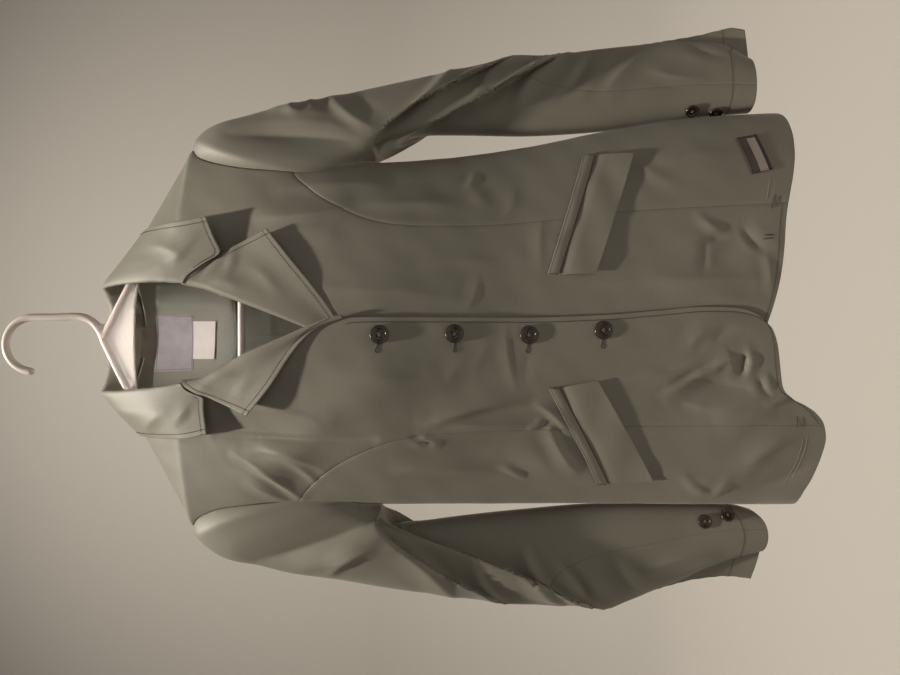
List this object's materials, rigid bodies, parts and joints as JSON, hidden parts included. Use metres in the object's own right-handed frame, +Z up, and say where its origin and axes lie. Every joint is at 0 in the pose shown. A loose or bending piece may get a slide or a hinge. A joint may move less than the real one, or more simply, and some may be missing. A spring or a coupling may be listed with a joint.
{
  "type": "equestrian show jacket on a moulded plastic hanger",
  "caption": "Fitted riding jacket with notched lapels, princess seams and flap pockets, buttoned up and hanging on a moulded plastic hanger.",
  "frame": {"origin": "inside top of the hanger's hook, where the hook rests on what it hangs from", "axes": "+Z up, +X towards the wearer's left, -Y towards the front of the jacket; the hanger lies in the XZ plane"},
  "size_m": [0.5969, 0.139, 0.805],
  "materials": {
    "jacket_cloth": "matt, fine smooth stretch weave",
    "button_resin": "glossy",
    "label_tape": "woven tape",
    "hanger_plastic": "smooth, slightly glossy"
  },
  "bodies": {
    "root": {"front_left": "jacket_cloth", "front_right": "jacket_cloth", "front_side_left": "jacket_cloth", "front_side_right": "jacket_cloth", "back_left": "jacket_cloth", "back_right": "jacket_cloth", "back_facing": "jacket_cloth", "collar": "jacket_cloth", "lapel_left": "jacket_cloth", "lapel_right": "jacket_cloth", "sleeve_left_upper": "jacket_cloth", "sleeve_left_under": "jacket_cloth", "sleeve_right_upper": "jacket_cloth", "sleeve_right_under": "jacket_cloth", "pocket_welt_left": "jacket_cloth", "pocket_welt_right": "jacket_cloth", "pocket_flap_left": "jacket_cloth", "pocket_flap_right": "jacket_cloth", "button_front_1": "button_resin", "button_front_2": "button_resin", "button_front_3": "button_resin", "button_front_4": "button_resin", "button_cuff_left_1": "button_resin", "button_cuff_left_2": "button_resin", "button_cuff_right_1": "button_resin", "button_cuff_right_2": "button_resin", "hem_label": "label_tape", "neck_label": "label_tape", "care_label": "label_tape", "hanging_loop": "label_tape", "hanger": "hanger_plastic"}
  },
  "joints": []
}
